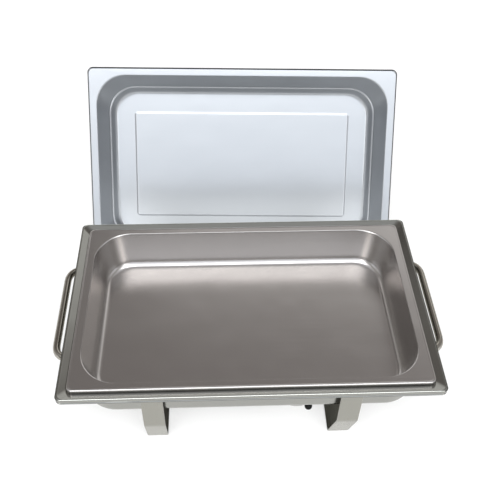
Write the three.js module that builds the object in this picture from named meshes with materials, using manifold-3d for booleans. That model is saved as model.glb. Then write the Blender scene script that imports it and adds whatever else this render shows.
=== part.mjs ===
// Chafing dish food warmer, full size (GN 1/1): millimetres, +Z up, +Y to the back, +X to the right.
// The lid is off: it stands on its long edge behind the dish and leans back.
import * as THREE from "three";
import { LoftGeometry } from "three/addons/geometries/LoftGeometry.js";
import { mergeVertices } from "three/addons/utils/BufferGeometryUtils.js";
import Module from "manifold-3d";

const wasm = await Module();
wasm.setup();

// Driving dimensions. Half sizes are [across, front to back] from the dish's middle.
const SHEET = 1; // thickness of the pressed pans and lid
const GAP = 0.3; // clearance between pieces that touch
const RIM_TOP = 155; // water pan rim above the table
const RIM_HALF = [279.2, 176.5];
const RIM_FACE = 10; // height of the rim's turned-down edge
const LEDGE_DROP = 4; // from the rim's top down to the ledge under the food pan
const BASIN_HALF = [255, 153.5]; // inside of the basin at its top
const BASIN_TAPER = 4; // how much narrower it is at the bottom, each side
const BASIN_DEPTH = 72; // from the rim's top to the inside of the basin's floor
const PAN_HALF = [265, 162.5]; // food pan flange, the 530 x 325 mm catering standard
const PAN_MOUTH = [250.5, 150];
const PAN_TAPER = 12;
const PAN_DEPTH = 65;
const PAN_RISE = 2; // food pan flange above the rim
const LID_HALF = [285.5, 180.6];
const LID_MOUTH = [270.5, 167];
const LID_CROWN = [244, 140.5];
const LID_HEIGHT = 55;
const LID_PANEL = [207, 102.5]; // rectangle pressed into the crown
const LID_LIP = 6; // height of the flange's turned-up edge
const CROWN_SHIFT = 5.5; // how far the crown lies towards the edge that the lid stands on
const PANEL_PRESS = 1.2;
const LID_FOOT = [-1.4, 231.3]; // middle of the edge that the lid stands on
const LID_LEAN = 31.9; // degrees back from upright
const LID_YAW = -2;
const LEG_X = 145.5; // middle of each leg strip
const LEG_WIDTH = 32;
const STRIP = 2; // thickness of a leg strip
const LEG_FACE = 165; // front of the strip's upright
const LEG_CREASE = 62; // height where the upright bends in
const LEG_HEEL = 145.5; // where it meets the table
const LEG_TOE = { left: 0, right: -6.3 }; // sideways bend of the strip, from its crease to the table
const HANDLE_ROD = 11.5;
const HANDLE_X = 293.8; // middle of the rod's straight length
const HANDLE_SPREAD = 90; // half the distance between its two ends
const HANDLE_Z = 134;
const LID_ROD = 8;
const LID_GRIP = 62; // half the lid handle's length
const LID_GRIP_RISE = 38;
// Where each burner stands, and the degrees that its lever is turned from straight ahead.
const BURNERS = { left: { x: -84.5, y: 0, turn: -3.9 }, right: { x: 79, y: -58, turn: 8 } };
const CUP_RADIUS = 42;
const CUP_HEIGHT = 56;
const PIVOT_REACH = 56; // cover's pivot from the cup's axis
const KNOB_REACH = 77; // middle of the knob from the cup's axis
const KNOB_RADIUS = 6;
const COVER_Z = 57; // underside of the cover
const COVER_THICK = 1.2;
const RIVET_RADIUS = 2;
const CORNER_STEPS = 5; // facets in the quarter turn of a pressed corner
const BEND_STEPS = 3; // facets in a bend of the sheet

const steel = (color, roughness) => new THREE.MeshStandardMaterial({ color, roughness, metalness: 1 });
const panSteel = steel(0xa39f99, 0.3);
const basinSteel = steel(0xb6b4ae, 0.3);
const lidSteel = steel(0xc8ced8, 0.35);
const stripSteel = steel(0xb3b0a6, 0.4);
const rodSteel = steel(0x9a958b, 0.2);
const cupSteel = steel(0xa8a6a2, 0.35);
const blackPlastic = new THREE.MeshStandardMaterial({ color: 0x141414, roughness: 0.35 });

const root = new THREE.Group();

function place(parent, name, geometry, material, position = [0, 0, 0]) {
  const mesh = new THREE.Mesh(geometry, material);
  mesh.name = name;
  mesh.position.set(...position);
  parent.add(mesh);
  return mesh;
}

// Rounds each corner of a line of vectors; bends[i] is how far from point i its bend starts.
function soften(points, bends) {
  const line = [points[0]];
  for (let i = 1; i < points.length - 1; i++) {
    const here = points[i];
    const toward = (other) => {
      const distance = other.clone().sub(here).length();
      return here.clone().lerp(other, bends[i] / distance);
    };
    const start = toward(points[i - 1]);
    const end = toward(points[i + 1]);
    for (let k = 0; k <= BEND_STEPS && bends[i]; k++) {
      const t = k / BEND_STEPS;
      const first = start.clone().lerp(here, t);
      line.push(first.lerp(here.clone().lerp(end, t), t));
    }
    if (!bends[i]) line.push(here);
  }
  line.push(points[points.length - 1]);
  return line;
}

// The line moved sideways, to the right of the way it runs, keeping the distance at each corner.
function beside(line, distance) {
  return line.map((point, i) => {
    const before = line[Math.max(i - 1, 0)];
    const after = line[Math.min(i + 1, line.length - 1)];
    const into = point.clone().sub(before).normalize();
    const out = after.clone().sub(point).normalize();
    const way = into.clone().add(out).normalize();
    const straight = i === 0 ? out : into;
    const mitre = distance / Math.max(way.dot(straight), 0.5);
    return new THREE.Vector2(point.x + way.y * mitre, point.y - way.x * mitre);
  });
}

// A rounded rectangle at height z, counter-clockwise from above.
function ring([halfX, halfY], corner, z) {
  const points = [];
  for (let quarter = 0; quarter < 4; quarter++) {
    const signX = quarter === 0 || quarter === 3 ? 1 : -1;
    const signY = quarter < 2 ? 1 : -1;
    for (let k = 0; k <= CORNER_STEPS; k++) {
      const angle = ((quarter + k / CORNER_STEPS) * Math.PI) / 2;
      const x = signX * (halfX - corner) + corner * Math.cos(angle);
      const y = signY * (halfY - corner) + corner * Math.sin(angle);
      points.push(new THREE.Vector3(x, y, z));
    }
  }
  return points;
}

// A pressed sheet. Its stations run over the upper face from the middle to the edge, each
// [half size, corner radius, z, bend], and the lower face lies one sheet thickness to the right.
function pressed(stations) {
  const outline = stations.map(([half, corner, z]) => new THREE.Vector4(...half, corner, z));
  const upper = soften(outline, stations.map(([, , , bend]) => bend ?? 0));
  const profile = upper.map((point) => new THREE.Vector2(point.x, point.w));
  const section = (line) =>
    line.map((point, i) => {
      const grow = point.x - upper[i].x;
      return ring([point.x, upper[i].y + grow], upper[i].z + grow, point.y);
    });
  return new LoftGeometry([...section(beside(profile, SHEET)), ...section(profile).reverse()]);
}

const MIDDLE = [0, 0];
const inset = ([halfX, halfY], distance) => [halfX - distance, halfY - distance];

// Turns a shape drawn as (front to back, up) into a solid that spans `width` across the dish.
function across(shape, width) {
  const solid = new THREE.ExtrudeGeometry(shape, { depth: width, bevelEnabled: false, curveSegments: 6 });
  const [x, y, z] = [new THREE.Vector3(1, 0, 0), new THREE.Vector3(0, 1, 0), new THREE.Vector3(0, 0, 1)];
  return solid.translate(0, 0, -width / 2).applyMatrix4(new THREE.Matrix4().makeBasis(y, z, x));
}

// A bent strip, drawn by the middle of its thickness.
function ribbon(points, bends, thickness) {
  const middle = soften(points.map(([x, y]) => new THREE.Vector2(x, y)), bends);
  return new THREE.Shape([...beside(middle, thickness / 2), ...beside(middle, -thickness / 2).reverse()]);
}

// A round rod bent through the points, with the given distance to each bend.
function bentRod(points, bend, diameter) {
  const corners = points.map((p) => new THREE.Vector3(...p));
  const path = new THREE.CurvePath();
  let from = corners[0];
  for (let i = 1; i < corners.length - 1; i++) {
    const start = corners[i].clone().lerp(corners[i - 1], bend / corners[i].distanceTo(corners[i - 1]));
    const end = corners[i].clone().lerp(corners[i + 1], bend / corners[i].distanceTo(corners[i + 1]));
    path.add(new THREE.LineCurve3(from, start));
    path.add(new THREE.QuadraticBezierCurve3(start, corners[i], end));
    from = end;
  }
  path.add(new THREE.LineCurve3(from, corners[corners.length - 1]));
  const section = new THREE.Shape().absarc(0, 0, diameter / 2, 0, 2 * Math.PI);
  return new THREE.ExtrudeGeometry(section, { steps: 28, extrudePath: path, curveSegments: 5 });
}

// A turned piece on the Z axis; the profile is a list of [radius, z].
function turned(profile, segments) {
  const points = profile.map(([radius, z]) => new THREE.Vector2(radius, z));
  return new THREE.LatheGeometry(points, segments).rotateX(Math.PI / 2);
}

// Shears a geometry: moves each point by [x, y], which depends on its height.
function sheared(geometry, shift) {
  const points = geometry.getAttribute("position");
  for (let i = 0; i < points.count; i++) {
    const [x, y] = shift(points.getZ(i));
    points.setXY(i, points.getX(i) + x, points.getY(i) + y);
  }
  return geometry;
}

// Pans

function makeFoodPan() {
  const top = RIM_TOP + PAN_RISE;
  const floor = top - PAN_DEPTH;
  const hem = RIM_TOP - LEDGE_DROP + GAP;
  return pressed([
    [MIDDLE, 0, floor],
    [inset(PAN_MOUTH, PAN_TAPER), 48, floor, 15],
    [PAN_MOUTH, 58, top, 3],
    [PAN_HALF, 9, top, 2],
    [PAN_HALF, 9, hem],
  ]);
}

function makeWaterPan() {
  const ledge = RIM_TOP - LEDGE_DROP;
  const floor = RIM_TOP - BASIN_DEPTH;
  return pressed([
    [MIDDLE, 0, floor],
    [inset(BASIN_HALF, BASIN_TAPER), 50, floor, 9],
    [BASIN_HALF, 56, ledge, 4],
    [inset(RIM_HALF, 13.5), 10, ledge, 2],
    [inset(RIM_HALF, 3.5), 9, RIM_TOP, 1.5],
    [RIM_HALF, 8, RIM_TOP - 0.6, 2.2],
    [RIM_HALF, 8, RIM_TOP - RIM_FACE],
  ]);
}

// Frame: sled legs and carrying handles

function makeLeg(side) {
  const front = -LEG_FACE + STRIP / 2;
  const tab = -(BASIN_HALF[1] + SHEET + GAP + STRIP / 2);
  const shoulder = RIM_TOP - 11;
  const half = [
    [tab, shoulder - 30, 0],
    [tab, shoulder, 3],
    [front, shoulder, 3],
    [front, LEG_CREASE, 4],
    [-LEG_HEEL, STRIP / 2, 4],
  ];
  const whole = [...half, ...half.map(([y, z, bend]) => [-y, z, bend]).reverse()];
  const strip = across(ribbon(whole, whole.map(([, , bend]) => bend), STRIP), LEG_WIDTH);
  return sheared(strip, (z) => [LEG_TOE[side] * Math.max(0, 1 - z / LEG_CREASE), 0]);
}

const PLATE = { thick: 1.5, length: 196, height: 22 };
const plateMiddle = BASIN_HALF[0] + SHEET + GAP + PLATE.thick / 2;

function makeSideHandle(side) {
  const inner = side * (plateMiddle + PLATE.thick / 2 + GAP);
  const outer = side * HANDLE_X;
  const ends = [-HANDLE_SPREAD, HANDLE_SPREAD];
  const points = [[inner, ends[0], 0], [outer, ends[0], 0], [outer, ends[1], 0], [inner, ends[1], 0]];
  return bentRod(points, 24, HANDLE_ROD);
}

// Lid, modelled closed with its rim's underside at z = 0 and then stood up

function makeLidShell() {
  const crown = LID_HEIGHT + SHEET;
  const panel = crown - PANEL_PRESS;
  const shell = pressed([
    [MIDDLE, 0, panel],
    [inset(LID_PANEL, 1), 8, panel],
    [LID_PANEL, 9, crown],
    [inset(LID_CROWN, 8), 40, crown],
    [LID_CROWN, 46, crown, 6],
    [inset(LID_CROWN, -8), 50, crown - 18, 2],
    [inset(LID_CROWN, -10), 50, crown - 19, 2],
    [LID_MOUTH, 57, SHEET, 4],
    [inset(LID_HALF, SHEET), 9, SHEET, 2.4],
    [inset(LID_HALF, SHEET), 9, LID_LIP],
  ]);
  return sheared(shell, (z) => [0, (CROWN_SHIFT * Math.max(0, z - LID_LIP)) / (crown - LID_LIP)]);
}

function makeLid() {
  const lid = new THREE.Group();
  place(lid, "lid_shell", makeLidShell(), lidSteel);
  const foot = LID_HEIGHT + SHEET - PANEL_PRESS + GAP;
  const footHeight = 2.5;
  for (const [side, sign] of [["left", -1], ["right", 1]]) {
    const disc = turned([[0, 0], [11, 0], [11, 1.2], [9, footHeight], [0, footHeight]], 20);
    place(lid, "lid_handle_foot_" + side, disc, rodSteel, [sign * LID_GRIP, CROWN_SHIFT, foot]);
  }
  const start = foot + footHeight + GAP;
  const top = start + LID_GRIP_RISE;
  const grip = [[-LID_GRIP, 0, start], [-LID_GRIP, 0, top], [LID_GRIP, 0, top], [LID_GRIP, 0, start]];
  place(lid, "lid_handle", bentRod(grip, 14, LID_ROD), rodSteel, [0, CROWN_SHIFT, 0]);
  return lid;
}

// Stands the lid on the back edge that it has when closed, so its front edge is up.
function standLid(lid) {
  const turn = new THREE.Matrix4().makeRotationX(THREE.MathUtils.degToRad(-90 - LID_LEAN));
  turn.premultiply(new THREE.Matrix4().makeRotationZ(THREE.MathUtils.degToRad(LID_YAW)));
  lid.setRotationFromMatrix(turn);
  const foot = new THREE.Vector3(0, LID_HALF[1], 0).applyMatrix4(turn);
  lid.position.set(LID_FOOT[0] - foot.x, LID_FOOT[1] - foot.y, 0);
  lid.updateMatrixWorld(true);
  lid.position.z = -new THREE.Box3().setFromObject(lid, true).min.z;
}

// Fuel holders: each is built with its lever towards the front

function makeCup() {
  return turned(
    [
      [0, 0],
      [CUP_RADIUS - 3, 0],
      [CUP_RADIUS, 3],
      [CUP_RADIUS, CUP_HEIGHT - 3],
      [CUP_RADIUS + 1.5, CUP_HEIGHT - 1.5],
      [CUP_RADIUS, CUP_HEIGHT],
      [CUP_RADIUS - SHEET, CUP_HEIGHT - 1],
      [CUP_RADIUS - SHEET, 4],
      [CUP_RADIUS - 4, SHEET],
      [0, SHEET],
    ],
    28,
  );
}

function roundHole(shape, x, y, radius) {
  shape.holes.push(new THREE.Path().absarc(x, y, radius, 0, 2 * Math.PI));
}

const TAB_TOP = CUP_HEIGHT - 4;
const TAB_THICK = 1.5;

// An angle on the cup's front: one flange on the cup's wall, the other out under the cover.
function makePivotBracket() {
  const wall = CUP_RADIUS + GAP;
  const width = 14;
  const height = 20;
  const flange = new THREE.BoxGeometry(width, TAB_THICK, height);
  flange.translate(0, -wall - TAB_THICK / 2, TAB_TOP - height / 2);
  const end = PIVOT_REACH;
  const shape = new THREE.Shape();
  shape.moveTo(width / 2, -wall).lineTo(-width / 2, -wall).lineTo(-width / 2, -end);
  shape.absarc(0, -end, width / 2, Math.PI, 2 * Math.PI);
  roundHole(shape, 0, -PIVOT_REACH, RIVET_RADIUS + GAP);
  const tab = new THREE.ExtrudeGeometry(shape, { depth: TAB_THICK, bevelEnabled: false, curveSegments: 6 });
  tab.translate(0, 0, TAB_TOP - TAB_THICK);
  return joined(flange, tab);
}

// The union of two closed solids.
function joined(first, second) {
  const solids = [first, second].map((geometry) => {
    const bare = geometry.clone().deleteAttribute("normal").deleteAttribute("uv");
    const merged = mergeVertices(bare, 1e-3);
    return new wasm.Manifold(
      new wasm.Mesh({
        numProp: 3,
        vertProperties: merged.attributes.position.array,
        triVerts: new Uint32Array(merged.index.array),
      }),
    );
  });
  const mesh = solids[0].add(solids[1]).getMesh();
  const geometry = new THREE.BufferGeometry();
  geometry.setAttribute("position", new THREE.BufferAttribute(new Float32Array(mesh.vertProperties), 3));
  geometry.setIndex([...mesh.triVerts]);
  return geometry;
}

// The cover is a disc with a lever that runs out over the pivot to the knob.
function makeCover() {
  const radius = CUP_RADIUS + 2;
  const leverHalf = 6;
  const tang = { half: 1.6, start: KNOB_REACH - KNOB_RADIUS - GAP, end: KNOB_REACH - 1 };
  const mouth = Math.asin((leverHalf + 1) / radius);
  const shape = new THREE.Shape();
  shape.absarc(0, 0, radius, -Math.PI / 2 + mouth, (3 * Math.PI) / 2 - mouth);
  shape.lineTo(-leverHalf, -PIVOT_REACH).lineTo(-leverHalf + 2, -tang.start);
  shape.lineTo(-tang.half, -tang.start).lineTo(-tang.half, -tang.end);
  shape.lineTo(tang.half, -tang.end).lineTo(tang.half, -tang.start);
  shape.lineTo(leverHalf - 2, -tang.start).lineTo(leverHalf, -PIVOT_REACH);
  roundHole(shape, 0, -PIVOT_REACH, RIVET_RADIUS + GAP);
  return new THREE.ExtrudeGeometry(shape, { depth: COVER_THICK, bevelEnabled: false, curveSegments: 14 });
}

// A headed rivet with a collar that holds the cover above the bracket.
function makeRivet() {
  const tabBottom = TAB_TOP - TAB_THICK - GAP;
  const coverTop = COVER_Z + COVER_THICK + GAP;
  return turned(
    [
      [0, tabBottom - 1.5],
      [3.4, tabBottom - 1.2],
      [3.4, tabBottom],
      [RIVET_RADIUS, tabBottom],
      [RIVET_RADIUS, TAB_TOP + GAP],
      [3.2, TAB_TOP + GAP],
      [3.2, COVER_Z - GAP],
      [RIVET_RADIUS, COVER_Z - GAP],
      [RIVET_RADIUS, coverTop],
      [3.8, coverTop],
      [2.6, coverTop + 1.5],
      [0, coverTop + 1.8],
    ],
    12,
  );
}

// A ball with a flat on the lever's side and a blind hole for the tang, turned about the lever.
function makeKnob() {
  const hole = 2.3;
  const flat = -4.6;
  const profile = [[0, 0], [hole, 0], [hole, flat]];
  const first = Math.acos(flat / KNOB_RADIUS);
  const steps = 7;
  for (let k = 0; k <= steps; k++) {
    const angle = first * (1 - k / steps);
    profile.push([KNOB_RADIUS * Math.sin(angle), KNOB_RADIUS * Math.cos(angle)]);
  }
  profile[profile.length - 1][0] = 0;
  return turned(profile, 16).rotateX(Math.PI / 2);
}

function makeBurner(side, { x, y, turn }) {
  const burner = new THREE.Group();
  burner.position.set(x, y, 0);
  burner.rotation.z = THREE.MathUtils.degToRad(turn);
  place(burner, "fuel_cup_" + side, makeCup(), cupSteel);
  place(burner, "pivot_bracket_" + side, makePivotBracket(), cupSteel);
  place(burner, "pivot_rivet_" + side, makeRivet(), stripSteel, [0, -PIVOT_REACH, 0]);
  place(burner, "snuffer_" + side, makeCover(), cupSteel, [0, 0, COVER_Z]);
  const knobPlace = [0, -KNOB_REACH, COVER_Z + COVER_THICK / 2];
  place(burner, "snuffer_knob_" + side, makeKnob(), blackPlastic, knobPlace);
  return burner;
}

// Assembly

place(root, "food_pan", makeFoodPan(), panSteel);
place(root, "water_pan", makeWaterPan(), basinSteel);
for (const [side, sign] of [["left", -1], ["right", 1]]) {
  place(root, "leg_" + side, makeLeg(side), stripSteel, [sign * LEG_X, 0, 0]);
  const plate = new THREE.BoxGeometry(PLATE.thick, PLATE.length, PLATE.height);
  place(root, "handle_plate_" + side, plate, stripSteel, [sign * plateMiddle, 0, HANDLE_Z]);
  place(root, "side_handle_" + side, makeSideHandle(sign), rodSteel, [0, 0, HANDLE_Z]);
  root.add(makeBurner(side, BURNERS[side]));
}
const lid = makeLid();
standLid(lid);
root.add(lid);

// The origin is the middle of the whole object's footprint, on the table.
root.updateMatrixWorld(true);
const extent = new THREE.Box3().setFromObject(root, true);
root.position.set(-(extent.min.x + extent.max.x) / 2, -(extent.min.y + extent.max.y) / 2, -extent.min.z);

export default root;
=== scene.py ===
"""Chafing dish with its lid off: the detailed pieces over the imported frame, then camera, floor and light."""
import math

import bmesh
import bpy
from mathutils import Matrix, Vector, noise


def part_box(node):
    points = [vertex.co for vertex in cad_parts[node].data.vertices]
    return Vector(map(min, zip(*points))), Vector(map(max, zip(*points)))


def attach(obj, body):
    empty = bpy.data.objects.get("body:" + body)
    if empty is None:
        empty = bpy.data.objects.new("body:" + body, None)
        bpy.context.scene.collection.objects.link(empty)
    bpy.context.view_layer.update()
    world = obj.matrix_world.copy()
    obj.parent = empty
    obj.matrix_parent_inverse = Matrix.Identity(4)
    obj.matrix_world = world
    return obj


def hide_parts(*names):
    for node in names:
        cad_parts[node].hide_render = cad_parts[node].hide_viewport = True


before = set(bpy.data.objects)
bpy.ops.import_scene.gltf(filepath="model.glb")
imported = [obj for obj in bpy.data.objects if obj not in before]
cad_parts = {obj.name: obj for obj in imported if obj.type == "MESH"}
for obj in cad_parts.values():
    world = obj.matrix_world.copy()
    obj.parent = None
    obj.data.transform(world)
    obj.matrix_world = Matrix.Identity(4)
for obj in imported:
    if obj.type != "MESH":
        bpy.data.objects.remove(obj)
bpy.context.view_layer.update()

# Driving dimensions, in millimetres and degrees.
# Half sizes are (across, front to back) from the middle, and heights are above the table.
MM = 0.001
SHEET = 1.0  # thickness of the pressed sheet

RIM_TOP = 155.0
RIM_HALF = (279.2, 176.5)
RIM_FACE = 10.0  # height of the rim's outer face
RIM_GROOVE = (RIM_TOP - 7.4, RIM_TOP - 4.5)  # the part of the groove round that face that is painted dark, as painted shade
RIM_FOOT = RIM_TOP - 8.3  # below this the rim's lower edge is painted dark, as painted shade
LEDGE = RIM_TOP - 4.0  # the flat step inside the rim
BASIN_HALF = (255.0, 153.5)
BASIN_FLOOR = RIM_TOP - 72.0

PAN_HALF = (265.0, 162.5)
PAN_MOUTH = (250.5, 150.0)
PAN_TOP = RIM_TOP + 2.0
PAN_FLOOR = PAN_TOP - 65.0
PAN_HEM = RIM_TOP - 3.7  # lower edge of the flange's turned-down hem

LEG_X = 145.5
LEG_STRIP = (32.0, 2.0)  # width and thickness
LEG_TAB = (155.8, 114.0)  # lower end of the tab that is welded to the basin: out from the middle, height
LEG_TOP = 144.0
LEG_OUT = 164.0
LEG_CREASE = 62.0
LEG_HEEL = 145.5  # how far out from the middle the strip reaches the table
LEG_TOE = {"left": 0.0, "right": -6.3}  # sideways bend, from the crease down to the table

HANDLE_ROOT = 258.1  # where the carrying handle is welded to its plate
HANDLE_X = 293.8
HANDLE_HALF_SPAN = 90.0
HANDLE_BEND = 26.0
HANDLE_RADIUS = 5.75
HANDLE_FLARE = 0.7  # how much a weld thickens the rod's end

# The lid is shaped closed, with its rim at z = 0, and then stood up.
LID_HALF = (285.5, 180.6)
LID_MOUTH = (270.5, 167.0)
LID_CROWN = (244.0, 140.5)
LID_PANEL = (207.0, 102.5)  # the rectangle pressed into the crown
LID_TOP = 56.0
LID_LIP = 6.0
PANEL_DEPTH = 1.2
CROWN_SHIFT = 5.5  # how far the crown lies towards the edge that the lid stands on
LID_LEAN = 31.9
LID_YAW = -2.0
GRIP_HALF = 62.0
GRIP_RISE = 38.0
GRIP_BEND = 16.0
GRIP_RADIUS = 4.0
GRIP_FLARE = 0.8
WELD_GAP = 0.3  # between a foot and the sheet that it is welded to

BURNER_TURN = {"left": -3.9, "right": 8.0}
CUP_OUT = 43.05  # from the cup's middle to the middle of its bracket's strip
BRACKET_STRIP = (14.0, 1.5)
BRACKET_LINE = ((-CUP_OUT, 32.0), (-CUP_OUT, 51.25), (-63.0, 51.25))  # y, z
BRACKET_BEND = 3.0
PIVOT_Y = -56.0
COVER_Z = 57.0
COVER_RADIUS = 44.0
COVER_SHEET = 1.2
LEVER_HALF = ((6.0, -46.5), (6.0, -58.0), (4.0, -70.7), (1.6, -70.7), (1.6, -76.0))  # half width, y
KNOB_RADIUS = 6.0
KNOB_Y = -77.0

# Turned profiles, each (radius, z) from the axis out and back to it.
CUP_PROFILE = (
    (0, 0), (1, 0), (38.5, 0), (40.6, 0.5), (41.6, 1.6), (42, 3.4), (42, 20), (41.6, 20.8), (42, 21.6),
    (42, 52), (42.5, 52.9), (43.3, 53.6), (43.5, 54.6), (43.1, 55.5), (42.2, 56), (41.4, 55.6), (41, 54.8),
    (41, 5), (40.5, 2.8), (39, 1.4), (37, 1), (1, 1), (0, 1),
)
RIVET_PROFILE = (
    (0, 48.7), (1, 48.75), (2.8, 49), (3.4, 49.7), (3.4, 50.2), (2, 50.2), (2, 52.3), (3.2, 52.3),
    (3.2, 56.7), (2, 56.7), (2, 58.5), (3.8, 58.5), (3.7, 59.1), (3, 59.8), (1.6, 60.2), (0.5, 60.3),
    (0, 60.3),
)
GRIP_FOOT_PROFILE = (
    (0, 0), (0.5, 0), (11, 0), (11, 0.8), (10.6, 1.3), (8, 2), (6, 2.5), (0.5, 2.5), (0, 2.5),
)
KNOB_NECK_PROFILE = ((0, -4.6), (2.3, -4.6), (3.4, -4.55), (3.9, -4.3))

# How finely the pieces are divided.
CORNER_STEPS = 14  # facets in the quarter turn of a pressed corner
BEND_STEPS = 7  # facets in a bend of the sheet
SIDE_STEPS = (36, 24)  # divisions of a straight side, across and front to back
COVER_STEPS = 72  # facets round a cover's edge
KNOB_STEPS = 20
RIPPLE = 0.1  # how far pressed sheet strays from flat
RIPPLE_LENGTH = 80.0
RIPPLE_SEED = 1
SHARP_ANGLE = 42.0  # an edge that turns more than this is shaded as a sharp one

noise.seed_set(RIPPLE_SEED)  # without a seed, the ripple would change with the clock


# Geometry

def between(a, b, t):
    return tuple(p + (q - p) * t for p, q in zip(a, b))


def inset(half, distance):
    return half[0] - distance, half[1] - distance


def from_rim(half, x, y):
    """Distance in from a sheet's outer edge."""
    return min(half[0] - abs(x), half[1] - abs(y))


def soften(points, bends):
    """Rounds the corners of a line; bends[i] is how far from point i its bend starts."""
    line = [tuple(points[0])]
    for before, here, after, bend in zip(points, points[1:], points[2:], bends[1:]):
        if not bend:
            line.append(tuple(here))
            continue
        start = between(here, before, bend / math.dist(here, before))
        end = between(here, after, bend / math.dist(here, after))
        for k in range(BEND_STEPS + 1):
            t = k / BEND_STEPS
            line.append(between(between(start, here, t), between(here, end, t), t))
    line.append(tuple(points[-1]))
    return line


def beside(line, distance):
    """The plane line moved to the right of the way it runs, by the same distance all along."""
    moved = []
    for i, (x, z) in enumerate(line):
        before = Vector(line[max(i - 1, 0)])
        after = Vector(line[min(i + 1, len(line) - 1)])
        here = Vector((x, z))
        into = (here - before).normalized() if i else (after - here).normalized()
        out = (after - here).normalized() if i < len(line) - 1 else into
        way = (into + out).normalized()
        mitre = distance / max(way.dot(into), 0.5)
        moved.append((x + way.y * mitre, z - way.x * mitre))
    return moved


def ring(half_x, half_y, corner, z):
    """A rounded rectangle, anticlockwise from above, with its straight sides divided."""
    points = []
    for quarter, along in enumerate(((-1, 0, 0), (0, -1, 0), (1, 0, 0), (0, 1, 0))):
        side_x = 1 if quarter in (0, 3) else -1
        side_y = 1 if quarter < 2 else -1
        for k in range(CORNER_STEPS + 1):
            angle = (quarter + k / CORNER_STEPS) * math.pi / 2
            x = side_x * (half_x - corner) + corner * math.cos(angle)
            y = side_y * (half_y - corner) + corner * math.sin(angle)
            points.append(Vector((x, y, z)))
        runs_back = quarter % 2  # 0 for a side that runs across, 1 for one that runs front to back
        steps = SIDE_STEPS[runs_back]
        run = half_y - corner if runs_back else half_x - corner
        corner_end = points[-1].copy()
        for k in range(1, steps):
            points.append(corner_end + Vector(along) * (2 * run * k / steps))
    return points


def loft(sections):
    """Faces between the sections in turn, with both ends closed."""
    count = len(sections[0])
    points = [point for section in sections for point in section]
    faces = []
    for row in range(len(sections) - 1):
        for k in range(count):
            a = row * count + k
            b = row * count + (k + 1) % count
            faces.append((a, b, b + count, a + count))
    last = (len(sections) - 1) * count
    faces.append(tuple(reversed(range(count))))
    faces.append(tuple(range(last, last + count)))
    return points, faces


def pressed(stations):
    """A pressed sheet: stations run over its upper face from the middle to the edge,
    each (half across, half front to back, corner radius, z, bend)."""
    upper = soften([s[:4] for s in stations], [s[4] for s in stations])
    under = beside([(p[0], p[3]) for p in upper], SHEET)
    lower = []
    for (x, z), (half_x, half_y, corner, _) in zip(under, upper):
        grow = x - half_x
        lower.append(ring(x, half_y + grow, corner + grow, z))
    points, faces = loft(lower + [ring(*p) for p in reversed(upper)])
    for point in points:
        point += RIPPLE * noise.noise_vector(point / RIPPLE_LENGTH)
    return points, faces


def round_section(radius, count=24):
    angles = [2 * math.pi * k / count for k in range(count)]
    return [(radius * math.cos(a), radius * math.sin(a)) for a in angles]


def turned(profile, segments=56):
    """A solid turned about Z from a list of (radius, z) that starts and ends on the axis."""
    return loft([[Vector((x, y, z)) for x, y in round_section(r, segments)] for r, z in profile[1:-1]])


def swept(path, section, side):
    """An outline carried along a path of points. section(i) gives it at point i, as points of
    (sideways, outward), and side is the direction that sideways starts in."""
    rows = []
    side = Vector(side)
    for i, here in enumerate(path):
        before = Vector(path[max(i - 1, 0)])
        after = Vector(path[min(i + 1, len(path) - 1)])
        way = (after - before).normalized()
        side = (side - way * side.dot(way)).normalized()
        outward = way.cross(side)
        rows.append([Vector(here) + side * a + outward * b for a, b in section(i)])
    return loft(rows)


def strip(line, size, edge):
    """A flat strip of (width, thickness) with eased edges, bent along a line of (y, z)."""
    x, y = size[0] / 2, size[1] / 2
    outline = []
    for sx, sy in ((1, 1), (-1, 1), (-1, -1), (1, -1)):
        corner = [
            (sx * x, sy * (y - edge)),
            (sx * (x - 0.3 * edge), sy * (y - 0.3 * edge)),
            (sx * (x - edge), sy * y),
        ]
        outline += corner if sx * sy > 0 else corner[::-1]
    return swept([(0, y, z) for y, z in line], lambda i: outline, (1, 0, 0))


def rod(points, bend, radius, flare, side):
    """A bent rod whose two ends flare into their welds."""
    line = soften(points, [0] + [bend] * (len(points) - 2) + [0])
    flared = 2.5  # length of the flare
    near = between(line[0], line[1], min(flared / math.dist(line[0], line[1]), 0.5))
    far = between(line[-1], line[-2], min(flared / math.dist(line[-1], line[-2]), 0.5))
    path = [line[0], near] + line[1:-1] + [far, line[-1]]
    ends = (0, len(path) - 1)
    return swept(path, lambda i: round_section(radius + (flare if i in ends else 0)), side)


def outline_slab(outline, thick, bevel):
    """A flat plate cut to an outline, with its edges eased."""
    plate = bmesh.new()
    face = plate.faces.new([plate.verts.new((x, y, 0)) for x, y in outline])
    raised = bmesh.ops.extrude_face_region(plate, geom=[face])["geom"]
    moved = [v for v in raised if isinstance(v, bmesh.types.BMVert)]
    bmesh.ops.translate(plate, verts=moved, vec=(0, 0, thick))
    bmesh.ops.recalc_face_normals(plate, faces=plate.faces)
    bmesh.ops.bevel(plate, geom=plate.edges[:], offset=bevel, segments=3, affect="EDGES", profile=0.6)
    points = [v.co.copy() for v in plate.verts]
    faces = [tuple(v.index for v in f.verts) for f in plate.faces]
    plate.free()
    return points, faces


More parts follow.
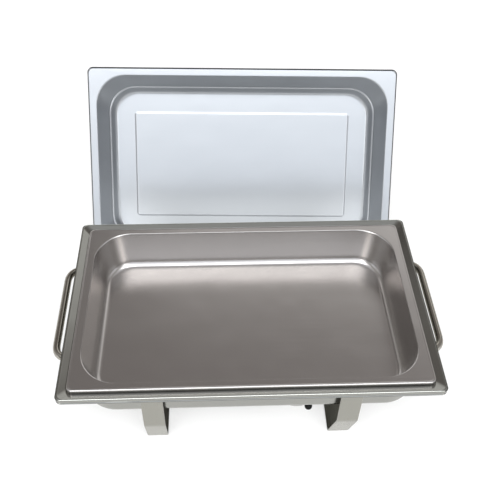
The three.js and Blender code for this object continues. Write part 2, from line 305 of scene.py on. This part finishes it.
def piece(name, shape, place, material, body, replaces):
    """Makes a piece from (points, faces) in millimetres; place takes them to the frame's metres."""
    points, faces = shape
    mesh = bpy.data.meshes.new(name)
    mesh.from_pydata([place @ point for point in points], [], faces)
    mesh.update()
    work = bmesh.new()
    work.from_mesh(mesh)
    bmesh.ops.remove_doubles(work, verts=work.verts, dist=1e-7)
    bmesh.ops.recalc_face_normals(work, faces=work.faces)
    work.to_mesh(mesh)
    work.free()
    mesh.shade_smooth()
    mesh.set_sharp_from_angle(angle=math.radians(SHARP_ANGLE))
    mesh.materials.append(material)
    thing = bpy.data.objects.new(name, mesh)
    bpy.context.scene.collection.objects.link(thing)
    flat = thing.modifiers.new("flat faces stay flat", "WEIGHTED_NORMAL")
    flat.keep_sharp = True
    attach(thing, body)
    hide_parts(replaces)
    return thing


def painted_shade(thing, place, amount):
    """Marks how much painted shade darkens a piece, 0 to 1, at each of its own points in millimetres."""
    back = place.inverted()
    marks = thing.data.attributes.new("painted_shade", "FLOAT", "POINT")
    for vertex, mark in zip(thing.data.vertices, marks.data):
        mark.value = min(max(amount(*(back @ vertex.co)), 0), 1)


# Materials

def add(tree, kind, **inputs):
    """Adds a node; an input is a value, or a socket to link from. An input named _0 is the first one."""
    made = tree.nodes.new(kind)
    for name, value in inputs.items():
        key = int(name[1:]) if name[0] == "_" and name[1:].isdigit() else name.replace("_", " ")
        if isinstance(value, bpy.types.NodeSocket):
            tree.links.new(value, made.inputs[key])
        else:
            made.inputs[key].default_value = value
    return made


def maths(tree, operation, a, b):
    made = add(tree, "ShaderNodeMath", _0=a, _1=b)
    made.operation = operation
    return made.outputs[0]


def blend(tree, share, first, second):
    """A colour that goes from first to second as share goes from 0 to 1."""
    made = add(tree, "ShaderNodeMix", _0=share)
    made.data_type = "RGBA"
    for socket, value in ((made.inputs[6], first), (made.inputs[7], second)):
        if isinstance(value, bpy.types.NodeSocket):
            tree.links.new(value, socket)
        else:
            socket.default_value = value
    return made.outputs[2]


def spread(tree, value, low, high):
    """Maps the middle of a 0..1 noise, 0.3 to 0.7, to low..high."""
    made = add(tree, "ShaderNodeMapRange", Value=value, From_Min=0.3, From_Max=0.7, To_Min=low, To_Max=high)
    return made.outputs["Result"]


def stretched_noise(tree, scale, detail):
    place = tree.nodes.new("ShaderNodeTexCoord").outputs["Object"]
    mapped = add(tree, "ShaderNodeMapping", Vector=place, Scale=scale).outputs["Vector"]
    grain = add(tree, "ShaderNodeTexNoise", Vector=mapped, Scale=1.0, Detail=detail, Roughness=0.6)
    return grain.outputs["Fac"]


def new_material(name):
    """A material, its node tree and its shader."""
    material = bpy.data.materials.new(name)
    material.use_nodes = True
    return material, material.node_tree, material.node_tree.nodes["Principled BSDF"]


def steel(name, color, roughness, grain, grain_depth=6e-7, cloud=0.025):
    """Stainless sheet: brushed grain, faint clouds left by wiping, edges rubbed smoother, and painted shade
    where a piece is marked.
    """
    material, tree, shader = new_material(name)
    shader.inputs["Metallic"].default_value = 1.0
    fine = stretched_noise(tree, grain, 3.0)
    clouds = stretched_noise(tree, (9, 9, 9), 4.0)
    streaks = stretched_noise(tree, tuple(s * 0.12 for s in grain), 2.0)
    edge = spread(tree, tree.nodes.new("ShaderNodeNewGeometry").outputs["Pointiness"], -0.5, 1.0)
    rubbed = add(tree, "ShaderNodeClamp", Value=edge).outputs["Result"]

    # The second colour is painted shade, 0.14 of the clean colour; the mark read below mixes it in.
    darker, painted_dark = (tuple(c * share for c in color) + (1,) for share in (1 - 1.6 * cloud, 0.14))
    shade = maths(tree, "ADD", spread(tree, clouds, 0, 0.6), spread(tree, streaks, 0, 0.4))
    clean = blend(tree, shade, darker, color + (1,))
    mark = tree.nodes.new("ShaderNodeAttribute")
    mark.attribute_name = "painted_shade"
    tree.links.new(blend(tree, mark.outputs["Fac"], clean, painted_dark), shader.inputs["Base Color"])

    rough = spread(tree, clouds, roughness + cloud, roughness - cloud * 0.5)
    rough = maths(tree, "ADD", rough, spread(tree, fine, -0.01, 0.015))
    rough = maths(tree, "SUBTRACT", rough, maths(tree, "MULTIPLY", rubbed, 0.06))
    tree.links.new(rough, shader.inputs["Roughness"])

    swell = stretched_noise(tree, (14, 14, 14), 1.0)
    low = add(tree, "ShaderNodeBump", Strength=1.0, Distance=5e-4, Height=swell).outputs["Normal"]
    high = add(tree, "ShaderNodeBump", Strength=1.0, Distance=grain_depth, Height=fine, Normal=low)
    tree.links.new(high.outputs["Normal"], shader.inputs["Normal"])
    return material


def plastic(name, color):
    """Moulded phenolic plastic: glossy, with a faint moulding texture and finger wear."""
    material, tree, shader = new_material(name)
    shader.inputs["Base Color"].default_value = color + (1,)
    shader.inputs["Specular IOR Level"].default_value = 0.1
    wear = stretched_noise(tree, (160, 160, 160), 3.0)
    tree.links.new(spread(tree, wear, 0.22, 0.38), shader.inputs["Roughness"])
    skin = stretched_noise(tree, (900, 900, 900), 2.0)
    bump = add(tree, "ShaderNodeBump", Strength=0.4, Distance=2e-5, Height=skin)
    tree.links.new(bump.outputs["Normal"], shader.inputs["Normal"])
    return material


# How many times per metre the grain changes, along X, Y and Z.
GRAIN_ALONG_X = (6, 900, 900)
GRAIN_OF_STRIP = (1100, 12, 12)
GRAIN_OF_CUP = (40, 40, 900)
GRAIN_EVEN = (260, 260, 260)

pan_steel = steel("food pan satin steel", (0.475, 0.455, 0.442), 0.26, GRAIN_ALONG_X, 2e-7, 0.01)
basin_steel = steel("water pan steel", (0.32, 0.32, 0.298), 0.2, GRAIN_ALONG_X, 3e-7, 0.015)
lid_steel = steel("lid satin steel", (0.38, 0.392, 0.408), 0.32, GRAIN_ALONG_X, 2e-7, 0.015)
strip_steel = steel("leg strip steel", (0.325, 0.318, 0.285), 0.3, GRAIN_OF_STRIP, 3e-7)
rod_steel = steel("handle rod steel", (0.37, 0.35, 0.31), 0.14, GRAIN_EVEN)
cup_steel = steel("fuel holder steel", (0.46, 0.455, 0.44), 0.28, GRAIN_OF_CUP)
black_plastic = plastic("black knob plastic", (0.006, 0.006, 0.006))


# Where things are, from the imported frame

def middle(node):
    low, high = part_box(node)
    return (low + high) / 2


def placed(x, y, z, turn=Matrix.Identity(4)):
    """Takes millimetres about a point of the frame to the frame's metres."""
    return Matrix.Translation((x, y, z)) @ turn @ Matrix.Scale(MM, 4)


def shifted(place, x, y, z):
    return place @ Matrix.Translation((x, y, z))


dish = middle("water_pan")
at_dish = placed(dish.x, dish.y, 0)


# Pans

def make_food_pan():
    stations = [
        (*inset(PAN_MOUTH, 60), 8, PAN_FLOOR, 0),
        (*inset(PAN_MOUTH, 12), 48, PAN_FLOOR, 16),
        (*PAN_MOUTH, 58, PAN_TOP, 3.2),
        (*inset(PAN_HALF, 3.4), 8, PAN_TOP, 1),
        (*inset(PAN_HALF, 2.2), 8, PAN_TOP + 0.25, 0.9),
        (*PAN_HALF, 9, PAN_TOP - 0.4, 1.9),
        (*PAN_HALF, 9, PAN_HEM, 0),
    ]
    pan = piece("Food_pan", pressed(stations), at_dish, pan_steel, "food_pan", "food_pan")
    # Painted shadow: the lower edge of the flange's hem, where it sits on the rim, is painted dark.
    painted_shade(pan, at_dish, lambda x, y, z: from_rim(PAN_HALF, x, y) < 1.3 and z < PAN_HEM + 0.6)


# Painted shade: the groove round the rim's outer face and the rim's lower edge are painted dark.
def rim_shade_marks(x, y, z):
    inward = from_rim(RIM_HALF, x, y)
    groove = 1.2 < inward < 3 and RIM_GROOVE[0] < z < RIM_GROOVE[1]
    foot = inward < 3 and z < RIM_FOOT
    return 0.9 if groove or foot else 0


def make_water_pan():
    stations = [
        (*inset(BASIN_HALF, 60), 8, BASIN_FLOOR, 0),
        (*inset(BASIN_HALF, 4), 50, BASIN_FLOOR, 9),
        (*BASIN_HALF, 56, LEDGE, 4),
        (*inset(RIM_HALF, 13.5), 10, LEDGE, 2),
        (*inset(RIM_HALF, 3.8), 9, RIM_TOP - 0.7, 1),
        (*inset(RIM_HALF, 2), 9, RIM_TOP, 1.5),
        (*RIM_HALF, 8, RIM_TOP - 1.6, 1.4),
        (*RIM_HALF, 8, RIM_TOP - 3.2, 0.6),
        (*inset(RIM_HALF, 1.7), 8, RIM_TOP - 5.2, 0.7),
        (*inset(RIM_HALF, 1.6), 8, RIM_TOP - 6.8, 0.6),
        (*RIM_HALF, 8, RIM_TOP - 8.2, 0.8),
        (*inset(RIM_HALF, 0.5), 8, RIM_TOP - RIM_FACE, 0),
    ]
    pan = piece("Water_pan", pressed(stations), at_dish, basin_steel, "base", "water_pan")
    painted_shade(pan, at_dish, rim_shade_marks)


# Legs and carrying handles

def make_leg(side, sign):
    """One strip: a tab hooked over at the top, down to the crease, in to the table, back, and up again."""
    front = [
        (-LEG_TAB[0], LEG_TAB[1], 0),
        (-LEG_TAB[0], LEG_TOP, 3),
        (-LEG_OUT, LEG_TOP, 3),
        (-LEG_OUT, LEG_CREASE, 5),
        (-LEG_HEEL, LEG_STRIP[1] / 2, 5),
    ]
    whole = front + [(-y, z, bend) for y, z, bend in reversed(front)]
    line = soften([p[:2] for p in whole], [p[2] for p in whole])
    points, faces = strip(line, LEG_STRIP, 0.6)
    for point in points:
        point.x += LEG_TOE[side] * max(0, 1 - point.z / LEG_CREASE)
    at = shifted(at_dish, sign * LEG_X, 0, 0)
    leg = piece("Leg_" + side, (points, faces), at, strip_steel, "base", "leg_" + side)
    # Painted shadow: the strip is painted dark where it meets the table at its heels.
    painted_shade(leg, at, lambda x, y, z: z < 1.5 and abs(y) > 139)


def make_side_handle(side, sign):
    root, out, span = sign * HANDLE_ROOT, sign * HANDLE_X, HANDLE_HALF_SPAN
    points = [(root, -span, 0), (out, -span, 0), (out, span, 0), (root, span, 0)]
    shape = rod(points, HANDLE_BEND, HANDLE_RADIUS, HANDLE_FLARE, (0, 0, 1))
    at = placed(dish.x, dish.y, middle("side_handle_" + side).z)
    piece("Side_handle_" + side, shape, at, rod_steel, "base", "side_handle_" + side)


def make_plate(side):
    """The plate between a handle and the basin, drawn lying flat and then turned to face sideways."""
    name = "handle_plate_" + side
    low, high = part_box(name)
    thick, width, height = (high - low) / MM
    outline = [(sx * height / 2, sy * width / 2) for sx, sy in ((-1, -1), (1, -1), (1, 1), (-1, 1))]
    turn = Matrix.Rotation(math.radians(90), 4, "Y")
    at = placed(low.x, (low.y + high.y) / 2, (low.z + high.z) / 2, turn)
    shape = outline_slab(outline, thick, 0.4)
    piece(name.capitalize(), shape, at, strip_steel, "base", name)


# Lid

def make_lid_shell():
    """Returns the matrix that stands the closed lid up in the frame."""
    panel_floor = LID_TOP - PANEL_DEPTH
    stations = [
        (*inset(LID_PANEL, 60), 8, panel_floor, 0),
        (*inset(LID_PANEL, 3.4), 4, panel_floor, 0.8),
        (*LID_PANEL, 7, LID_TOP, 0.8),
        (*inset(LID_CROWN, 12), 38, LID_TOP, 0),
        (*LID_CROWN, 46, LID_TOP, 9),
        (*inset(LID_CROWN, -7), 50, LID_TOP - 16, 1.5),
        (*inset(LID_CROWN, -9.4), 51, LID_TOP - 17.2, 1.2),
        (*inset(LID_CROWN, -10.6), 51, LID_TOP - 20.6, 1.2),
        (*LID_MOUTH, 57, SHEET, 2.8),
        (*inset(LID_HALF, 3.4), 9, SHEET, 0.5),
        (*inset(LID_HALF, 1.3), 9, SHEET + 1.5, 0.9),
        (*inset(LID_HALF, SHEET), 9, LID_LIP, 0),
    ]
    points, faces = pressed(stations)
    for point in points:
        point.y += CROWN_SHIFT * max(0, point.z - LID_LIP) / (LID_TOP - LID_LIP)
    yaw = Matrix.Rotation(math.radians(LID_YAW), 4, "Z")
    stand = yaw @ Matrix.Rotation(math.radians(-90 - LID_LEAN), 4, "X")
    stood = [stand @ p * MM for p in points]
    low, high = (Vector(end(p[k] for p in stood) for k in range(3)) for end in (min, max))
    at = placed(*(middle("lid_shell") - (low + high) / 2), stand)
    shell = piece("Lid_shell", (points, faces), at, lid_steel, "lid", "lid_shell")
    # Painted shade: the lid is painted dark within about 1.7 mm of its turned-down edge, fading out by about
    # 3.2 mm.
    painted_shade(shell, at, lambda x, y, z: 2.2 - from_rim(LID_HALF, x, y) / 1.45)
    return at


def make_lid_handle(at):
    foot = LID_TOP - PANEL_DEPTH + WELD_GAP
    for side, sign in (("left", -1), ("right", 1)):
        name = "lid_handle_foot_" + side
        foot_at = shifted(at, sign * GRIP_HALF, CROWN_SHIFT, foot)
        piece(name.capitalize(), turned(GRIP_FOOT_PROFILE), foot_at, rod_steel, "lid", name)
    start = foot + GRIP_FOOT_PROFILE[-1][1] + WELD_GAP
    top = start + GRIP_RISE
    points = [(-GRIP_HALF, 0, start), (-GRIP_HALF, 0, top), (GRIP_HALF, 0, top), (GRIP_HALF, 0, start)]
    grip = rod(points, GRIP_BEND, GRIP_RADIUS, GRIP_FLARE, (1, 0, 0))
    grip_at = shifted(at, 0, CROWN_SHIFT, 0)
    piece("Lid_handle", grip, grip_at, rod_steel, "lid", "lid_handle")


# Fuel holders

def cover_outline():
    """A disc with a lever that runs from its front to the knob."""
    lever = math.asin(7 / COVER_RADIUS)  # half the angle that the lever's root takes up
    first, last = -math.pi / 2 + lever, 1.5 * math.pi - lever
    outline = []
    for k in range(COVER_STEPS + 1):
        angle = first + (last - first) * k / COVER_STEPS
        outline.append((COVER_RADIUS * math.cos(angle), COVER_RADIUS * math.sin(angle)))
    outline += [(-x, y) for x, y in LEVER_HALF]
    outline += list(reversed(LEVER_HALF))
    return outline


def knob_profile():
    """A ball on a short neck."""
    profile = list(KNOB_NECK_PROFILE)
    for k in range(1, KNOB_STEPS):
        angle = math.radians(136 - 136 * k / KNOB_STEPS)
        profile.append((KNOB_RADIUS * math.sin(angle), KNOB_RADIUS * math.cos(angle)))
    return profile + [(0, KNOB_RADIUS)]


def make_burner(side):
    cup = middle("fuel_cup_" + side)
    at = placed(cup.x, cup.y, 0, Matrix.Rotation(math.radians(BURNER_TURN[side]), 4, "Z"))
    rivet_at = shifted(at, 0, PIVOT_Y, 0)
    cover_at = shifted(at, 0, 0, COVER_Z)
    lying = Matrix.Rotation(math.radians(90), 4, "X")
    knob_at = shifted(cover_at, 0, KNOB_Y, COVER_SHEET / 2) @ lying
    cup_shape = turned(CUP_PROFILE, 80)
    bracket = strip(soften(BRACKET_LINE, [0, BRACKET_BEND, 0]), BRACKET_STRIP, 0.35)
    rivet = turned(RIVET_PROFILE, 32)
    cover = outline_slab(cover_outline(), COVER_SHEET, 0.3)
    knob = turned(knob_profile(), 40)
    for name, shape, place, material, slot, body in (
        ("fuel_cup_", cup_shape, at, cup_steel, "cup_steel", "burner_"),
        ("pivot_bracket_", bracket, at, cup_steel, "cup_steel", "burner_"),
        ("pivot_rivet_", rivet, rivet_at, strip_steel, "strip_steel", "burner_"),
        ("snuffer_", cover, cover_at, cup_steel, "cup_steel", "cover_"),
        ("snuffer_knob_", knob, knob_at, black_plastic, "black_plastic", "cover_"),
    ):
        piece(name.capitalize() + side, shape, place, material, body + side, name + side)


# Camera, floor and light. Lengths are in metres from here on.

CAMERA_TURN = (45.44, 2.58, 0.833)  # degrees down, to the right, and of roll
CAMERA_FROM_DISH = (-0.0470, -0.7349)
CAMERA_HEIGHT = 1.0369
CAMERA_LENS = 54.4  # mm, on a sensor 36 mm wide
FLOOR_HALF = 9


def make_camera():
    pitch, yaw, roll = (math.radians(a) for a in CAMERA_TURN)
    forward = Vector((math.sin(yaw) * math.cos(pitch), math.cos(yaw) * math.cos(pitch), -math.sin(pitch)))
    level = Vector((math.cos(yaw), -math.sin(yaw), 0))
    right = level * math.cos(roll) + level.cross(forward) * math.sin(roll)
    up = right.cross(forward)
    turn = Matrix((right, up, -forward)).transposed().to_4x4()
    lens = bpy.data.cameras.new("Camera")
    lens.lens = CAMERA_LENS
    lens.sensor_width = 36
    camera = bpy.data.objects.new("Camera", lens)
    x, y = CAMERA_FROM_DISH
    camera.matrix_world = Matrix.Translation((dish.x + x, dish.y + y, CAMERA_HEIGHT)) @ turn
    bpy.context.scene.collection.objects.link(camera)
    bpy.context.scene.camera = camera


def make_floor():
    material, _, shader = new_material("pale floor")
    shader.inputs["Base Color"].default_value = (0.5, 0.495, 0.485, 1)
    shader.inputs["Emission Color"].default_value = (1, 1, 1, 1)
    shader.inputs["Emission Strength"].default_value = 0.5
    shader.inputs["Roughness"].default_value = 0.9
    shader.inputs["Specular IOR Level"].default_value = 0.1
    mesh = bpy.data.meshes.new("Floor")
    corners = [(sx * FLOOR_HALF, sy * FLOOR_HALF, 0) for sx, sy in ((-1, -1), (1, -1), (1, 1), (-1, 1))]
    mesh.from_pydata(corners, [], [(0, 1, 2, 3)])
    mesh.materials.append(material)
    floor = bpy.data.objects.new("Floor", mesh)
    bpy.context.scene.collection.objects.link(floor)


def softbox(name, position, target, size, power, color):
    light = bpy.data.lights.new(name, "AREA")
    light.shape = "RECTANGLE"
    light.size, light.size_y = size
    light.energy = power
    light.color = color
    lamp = bpy.data.objects.new(name, light)
    lamp.location = position
    lamp.rotation_euler = (Vector(target) - Vector(position)).to_track_quat("-Z", "Y").to_euler()
    bpy.context.scene.collection.objects.link(lamp)


FRONT = (1.5, 1.57, 1.66)
# The rest of the room, each part over the ones before it: its colour, then the limits of the directions
# that it lies in, each as an axis, where the colour starts and where it is full.
ROOM = (
    # overhead
    ((0.74, 0.75, 0.77), (("Y", -0.45, 0.0),)),
    # behind
    ((0.225, 0.203, 0.192), (("Y", 0.1, 0.5),)),
    # a glow low behind, and a darker part at its left
    ((1.0, 0.99, 0.98), (("Y", 0.35, 0.6), ("Z", 0.80, 0.68))),
    ((0.12, 0.105, 0.10), (("X", -0.08, -0.14), ("Y", 0.3, 0.5), ("Z", 0.77, 0.71), ("Z", 0.45, 0.6))),
    # dim strips far to the left and the right
    ((0.44, 0.43, 0.41), (("X", -0.60, -0.68), ("X", -0.92, -0.84))),
    ((0.46, 0.45, 0.44), (("X", 0.60, 0.68), ("X", 0.92, 0.84))),
    # tall windows in front
    ((4.2, 4.2, 4.2), (("X", -0.36, -0.42), ("X", -0.58, -0.50), ("Y", -0.2, -0.4))),
    ((4.2, 4.2, 4.2), (("X", 0.36, 0.42), ("X", 0.58, 0.50), ("Y", -0.2, -0.4))),
)


def make_studio():
    """A room lit from the front: bright and cool there, dimmer overhead, dim and warm behind."""
    world = bpy.data.worlds.new("Studio")
    bpy.context.scene.world = world
    world.use_nodes = True
    tree = world.node_tree
    way = add(tree, "ShaderNodeSeparateXYZ", Vector=tree.nodes.new("ShaderNodeTexCoord").outputs["Generated"])
    room = FRONT + (1,)
    for color, limits in ROOM:
        share = 1.0
        for axis, start, full in limits:
            step = add(tree, "ShaderNodeMapRange", Value=way.outputs[axis], From_Min=start, From_Max=full)
            step.interpolation_type = "SMOOTHSTEP"
            share = maths(tree, "MULTIPLY", share, step.outputs["Result"])
        room = blend(tree, share, room, color + (1,))
    tree.links.new(room, tree.nodes["Background"].inputs["Color"])
    softbox("Front softbox", (-0.1, -1.7, 2.7), (0, -0.1, 0), (2.6, 1.6), 52, (0.98, 0.99, 1))
    card = Vector((dish.x, dish.y + 0.186, 0.075))  # low behind the dish, it lights the lid's lower part
    softbox("Card behind the dish", card, card + Vector((0, 1, 0)), (0.54, 0.12), 0.27, (0.97, 0.99, 1))


make_food_pan()
make_water_pan()
for side, sign in (("left", -1), ("right", 1)):
    make_leg(side, sign)
    make_side_handle(side, sign)
    make_plate(side)
    make_burner(side)
make_lid_handle(make_lid_shell())
make_camera()
make_floor()
make_studio()
bpy.context.scene.view_settings.view_transform = "Standard"
